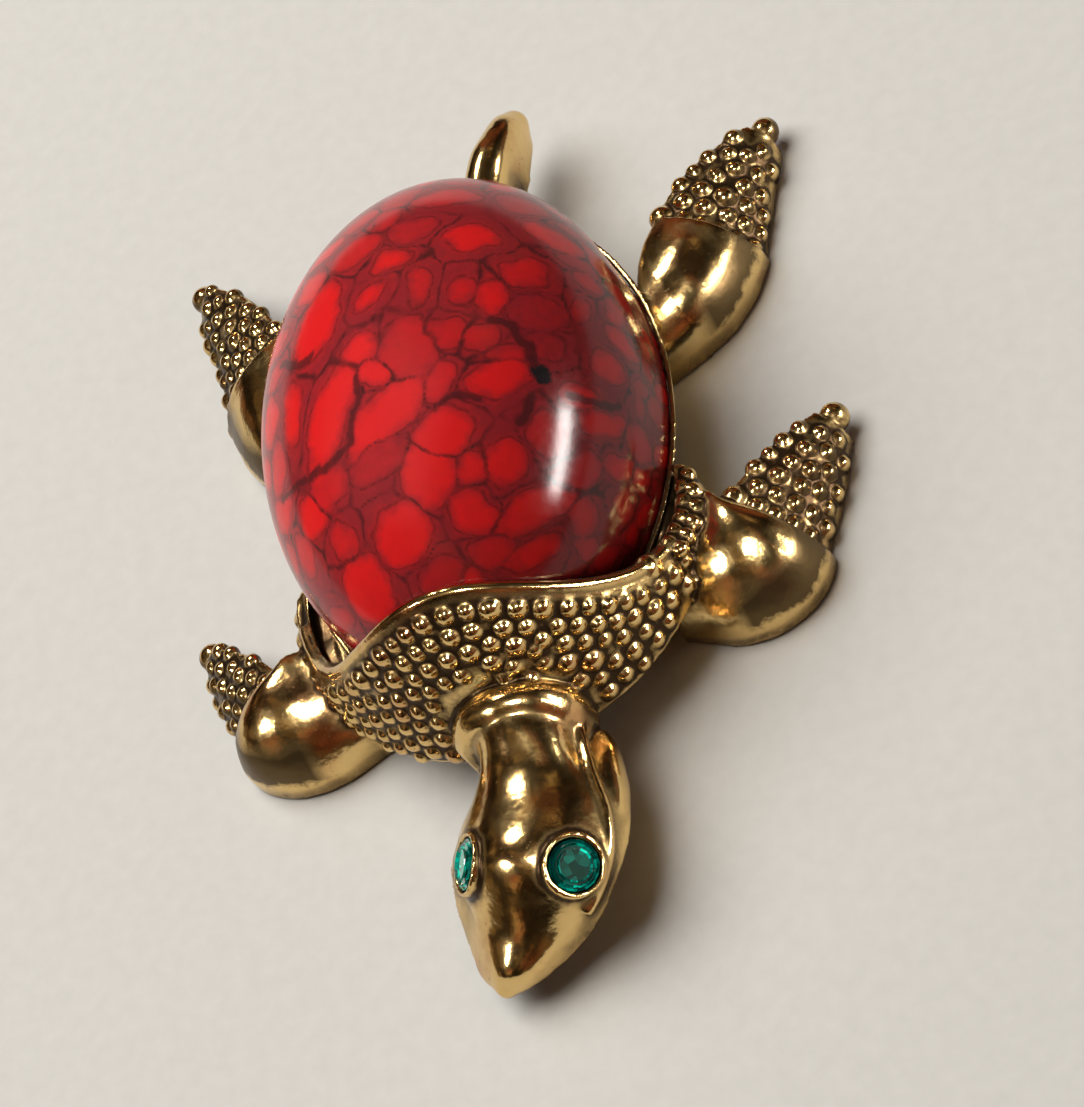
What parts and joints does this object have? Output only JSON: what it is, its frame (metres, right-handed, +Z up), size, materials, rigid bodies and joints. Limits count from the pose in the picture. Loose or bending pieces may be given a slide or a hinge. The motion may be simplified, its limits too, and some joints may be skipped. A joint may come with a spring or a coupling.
{
  "type": "turtle brooch",
  "caption": "Turtle-shaped brooch: domed oval stone as the shell, a granulated cast collar, head with round faceted eyes, flippers and tail, and a pin across the back.",
  "frame": {"origin": "on the surface that the brooch rests on, straight below the centre of the oval stone", "axes": "+Z up through the stone, -Y towards the head, +Y towards the tail, so -X and +X are the turtle's own right and left sides"},
  "size_m": [0.0449, 0.0628, 0.0199],
  "materials": {
    "gold_casting": "polished antique gold tone, dark tarnish in the recesses",
    "marbled_shell": "glossy cast resin, marbled red cells in dark veins",
    "green_glass": "faceted glass with a mirror back",
    "pin_metal": "plain gold tone"
  },
  "bodies": {
    "root": {"body_casting": "gold_casting", "shell_cabochon": "marbled_shell", "eye_stone_left": "green_glass", "eye_stone_right": "green_glass", "pin_back": "pin_metal"}
  },
  "joints": []
}
